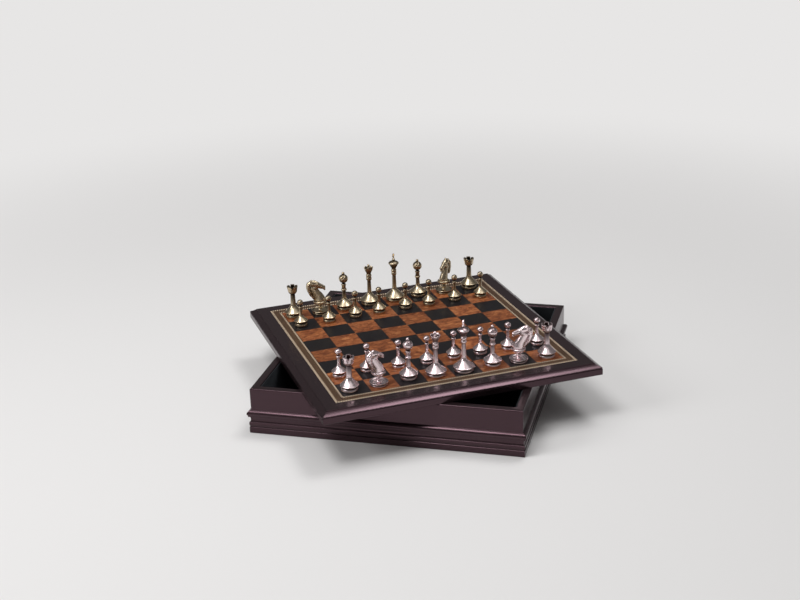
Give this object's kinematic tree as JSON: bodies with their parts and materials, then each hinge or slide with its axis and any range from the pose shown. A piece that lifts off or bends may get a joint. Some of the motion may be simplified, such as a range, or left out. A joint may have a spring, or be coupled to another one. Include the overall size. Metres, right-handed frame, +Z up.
{
  "type": "chess box with board lid and metal chessmen",
  "caption": "Moulded dark wooden chess box, open and felt-lined inside; its inlaid chessboard lid lies turned on top and carries a full set of silver and bronze metal chessmen.",
  "frame": {"origin": "middle of the box's underside, where it rests", "axes": "+Z up, +X to the right along the box's front, +Y from the front to the back"},
  "size_m": [0.4224, 0.4224, 0.1195],
  "materials": {
    "stained_wood": "dark stained hardwood, semi-gloss lacquer",
    "panel_wood": "dark stained board, satin",
    "burl_veneer": "orange-brown burl veneer, semi-gloss",
    "dark_veneer": "near-black dyed veneer, semi-gloss",
    "pale_line_veneer": "pale golden veneer line, semi-gloss",
    "band_veneer": "dark veneer band, semi-gloss",
    "felt": "black-green felt",
    "silver_metal": "polished nickel plate, warm silver",
    "bronze_metal": "antiqued brass plate with dark recesses"
  },
  "bodies": {
    "box": {"wall_front": "stained_wood", "wall_back": "stained_wood", "wall_left": "stained_wood", "wall_right": "stained_wood", "plinth_front": "stained_wood", "plinth_back": "stained_wood", "plinth_left": "stained_wood", "plinth_right": "stained_wood", "bottom_panel": "panel_wood", "floor_lining": "felt", "wall_lining": "felt"},
    "lid_ring": {"locating_ring": "stained_wood"},
    "board_lid": {"board_frame_front": "stained_wood", "board_frame_back": "stained_wood", "board_frame_left": "stained_wood", "board_frame_right": "stained_wood", "board_panel": "panel_wood", "dark_squares": "dark_veneer", "light_squares": "burl_veneer", "edge_line": "dark_veneer", "pale_lines": "pale_line_veneer", "inlay_band": "band_veneer", "lid_lining": "felt"},
    "silver_rook_a": {"silver_rook_a": "silver_metal"},
    "silver_pawn_a": {"silver_pawn_a": "silver_metal"},
    "silver_knight_b": {"silver_knight_b": "silver_metal"},
    "silver_pawn_b": {"silver_pawn_b": "silver_metal"},
    "silver_bishop_c": {"silver_bishop_c": "silver_metal"},
    "silver_pawn_c": {"silver_pawn_c": "silver_metal"},
    "silver_queen_d": {"silver_queen_d": "silver_metal"},
    "silver_pawn_d": {"silver_pawn_d": "silver_metal"},
    "silver_king_e": {"silver_king_e": "silver_metal"},
    "silver_pawn_e": {"silver_pawn_e": "silver_metal"},
    "silver_bishop_f": {"silver_bishop_f": "silver_metal"},
    "silver_pawn_f": {"silver_pawn_f": "silver_metal"},
    "silver_knight_g": {"silver_knight_g": "silver_metal"},
    "silver_pawn_g": {"silver_pawn_g": "silver_metal"},
    "silver_rook_h": {"silver_rook_h": "silver_metal"},
    "silver_pawn_h": {"silver_pawn_h": "silver_metal"},
    "bronze_rook_a": {"bronze_rook_a": "bronze_metal"},
    "bronze_pawn_a": {"bronze_pawn_a": "bronze_metal"},
    "bronze_knight_b": {"bronze_knight_b": "bronze_metal"},
    "bronze_pawn_b": {"bronze_pawn_b": "bronze_metal"},
    "bronze_bishop_c": {"bronze_bishop_c": "bronze_metal"},
    "bronze_pawn_c": {"bronze_pawn_c": "bronze_metal"},
    "bronze_queen_d": {"bronze_queen_d": "bronze_metal"},
    "bronze_pawn_d": {"bronze_pawn_d": "bronze_metal"},
    "bronze_king_e": {"bronze_king_e": "bronze_metal"},
    "bronze_pawn_e": {"bronze_pawn_e": "bronze_metal"},
    "bronze_bishop_f": {"bronze_bishop_f": "bronze_metal"},
    "bronze_pawn_f": {"bronze_pawn_f": "bronze_metal"},
    "bronze_knight_g": {"bronze_knight_g": "bronze_metal"},
    "bronze_pawn_g": {"bronze_pawn_g": "bronze_metal"},
    "bronze_rook_h": {"bronze_rook_h": "bronze_metal"},
    "bronze_pawn_h": {"bronze_pawn_h": "bronze_metal"}
  },
  "joints": [
    {"name": "lid_lift", "type": "slide", "parent": "box", "child": "lid_ring", "axis": [0, 0, 1], "range_m": [0, 0.12]},
    {"name": "lid_turn", "type": "hinge", "parent": "lid_ring", "child": "board_lid", "pos_m": [0, 0, 0.0503], "axis": [0, 0, 1], "range_deg": [-33.5, 326.5]},
    {"name": "silver_rook_a_lift", "type": "slide", "parent": "board_lid", "child": "silver_rook_a", "axis": [0, 0, 1], "range_m": [0, 0.09]},
    {"name": "silver_pawn_a_lift", "type": "slide", "parent": "board_lid", "child": "silver_pawn_a", "axis": [0, 0, 1], "range_m": [0, 0.09]},
    {"name": "silver_knight_b_lift", "type": "slide", "parent": "board_lid", "child": "silver_knight_b", "axis": [0, 0, 1], "range_m": [0, 0.09]},
    {"name": "silver_pawn_b_lift", "type": "slide", "parent": "board_lid", "child": "silver_pawn_b", "axis": [0, 0, 1], "range_m": [0, 0.09]},
    {"name": "silver_bishop_c_lift", "type": "slide", "parent": "board_lid", "child": "silver_bishop_c", "axis": [0, 0, 1], "range_m": [0, 0.09]},
    {"name": "silver_pawn_c_lift", "type": "slide", "parent": "board_lid", "child": "silver_pawn_c", "axis": [0, 0, 1], "range_m": [0, 0.09]},
    {"name": "silver_queen_d_lift", "type": "slide", "parent": "board_lid", "child": "silver_queen_d", "axis": [0, 0, 1], "range_m": [0, 0.09]},
    {"name": "silver_pawn_d_lift", "type": "slide", "parent": "board_lid", "child": "silver_pawn_d", "axis": [0, 0, 1], "range_m": [0, 0.09]},
    {"name": "silver_king_e_lift", "type": "slide", "parent": "board_lid", "child": "silver_king_e", "axis": [0, 0, 1], "range_m": [0, 0.09]},
    {"name": "silver_pawn_e_lift", "type": "slide", "parent": "board_lid", "child": "silver_pawn_e", "axis": [0, 0, 1], "range_m": [0, 0.09]},
    {"name": "silver_bishop_f_lift", "type": "slide", "parent": "board_lid", "child": "silver_bishop_f", "axis": [0, 0, 1], "range_m": [0, 0.09]},
    {"name": "silver_pawn_f_lift", "type": "slide", "parent": "board_lid", "child": "silver_pawn_f", "axis": [0, 0, 1], "range_m": [0, 0.09]},
    {"name": "silver_knight_g_lift", "type": "slide", "parent": "board_lid", "child": "silver_knight_g", "axis": [0, 0, 1], "range_m": [0, 0.09]},
    {"name": "silver_pawn_g_lift", "type": "slide", "parent": "board_lid", "child": "silver_pawn_g", "axis": [0, 0, 1], "range_m": [0, 0.09]},
    {"name": "silver_rook_h_lift", "type": "slide", "parent": "board_lid", "child": "silver_rook_h", "axis": [0, 0, 1], "range_m": [0, 0.09]},
    {"name": "silver_pawn_h_lift", "type": "slide", "parent": "board_lid", "child": "silver_pawn_h", "axis": [0, 0, 1], "range_m": [0, 0.09]},
    {"name": "bronze_rook_a_lift", "type": "slide", "parent": "board_lid", "child": "bronze_rook_a", "axis": [0, 0, 1], "range_m": [0, 0.09]},
    {"name": "bronze_pawn_a_lift", "type": "slide", "parent": "board_lid", "child": "bronze_pawn_a", "axis": [0, 0, 1], "range_m": [0, 0.09]},
    {"name": "bronze_knight_b_lift", "type": "slide", "parent": "board_lid", "child": "bronze_knight_b", "axis": [0, 0, 1], "range_m": [0, 0.09]},
    {"name": "bronze_pawn_b_lift", "type": "slide", "parent": "board_lid", "child": "bronze_pawn_b", "axis": [0, 0, 1], "range_m": [0, 0.09]},
    {"name": "bronze_bishop_c_lift", "type": "slide", "parent": "board_lid", "child": "bronze_bishop_c", "axis": [0, 0, 1], "range_m": [0, 0.09]},
    {"name": "bronze_pawn_c_lift", "type": "slide", "parent": "board_lid", "child": "bronze_pawn_c", "axis": [0, 0, 1], "range_m": [0, 0.09]},
    {"name": "bronze_queen_d_lift", "type": "slide", "parent": "board_lid", "child": "bronze_queen_d", "axis": [0, 0, 1], "range_m": [0, 0.09]},
    {"name": "bronze_pawn_d_lift", "type": "slide", "parent": "board_lid", "child": "bronze_pawn_d", "axis": [0, 0, 1], "range_m": [0, 0.09]},
    {"name": "bronze_king_e_lift", "type": "slide", "parent": "board_lid", "child": "bronze_king_e", "axis": [0, 0, 1], "range_m": [0, 0.09]},
    {"name": "bronze_pawn_e_lift", "type": "slide", "parent": "board_lid", "child": "bronze_pawn_e", "axis": [0, 0, 1], "range_m": [0, 0.09]},
    {"name": "bronze_bishop_f_lift", "type": "slide", "parent": "board_lid", "child": "bronze_bishop_f", "axis": [0, 0, 1], "range_m": [0, 0.09]},
    {"name": "bronze_pawn_f_lift", "type": "slide", "parent": "board_lid", "child": "bronze_pawn_f", "axis": [0, 0, 1], "range_m": [0, 0.09]},
    {"name": "bronze_knight_g_lift", "type": "slide", "parent": "board_lid", "child": "bronze_knight_g", "axis": [0, 0, 1], "range_m": [0, 0.09]},
    {"name": "bronze_pawn_g_lift", "type": "slide", "parent": "board_lid", "child": "bronze_pawn_g", "axis": [0, 0, 1], "range_m": [0, 0.09]},
    {"name": "bronze_rook_h_lift", "type": "slide", "parent": "board_lid", "child": "bronze_rook_h", "axis": [0, 0, 1], "range_m": [0, 0.09]},
    {"name": "bronze_pawn_h_lift", "type": "slide", "parent": "board_lid", "child": "bronze_pawn_h", "axis": [0, 0, 1], "range_m": [0, 0.09]}
  ]
}
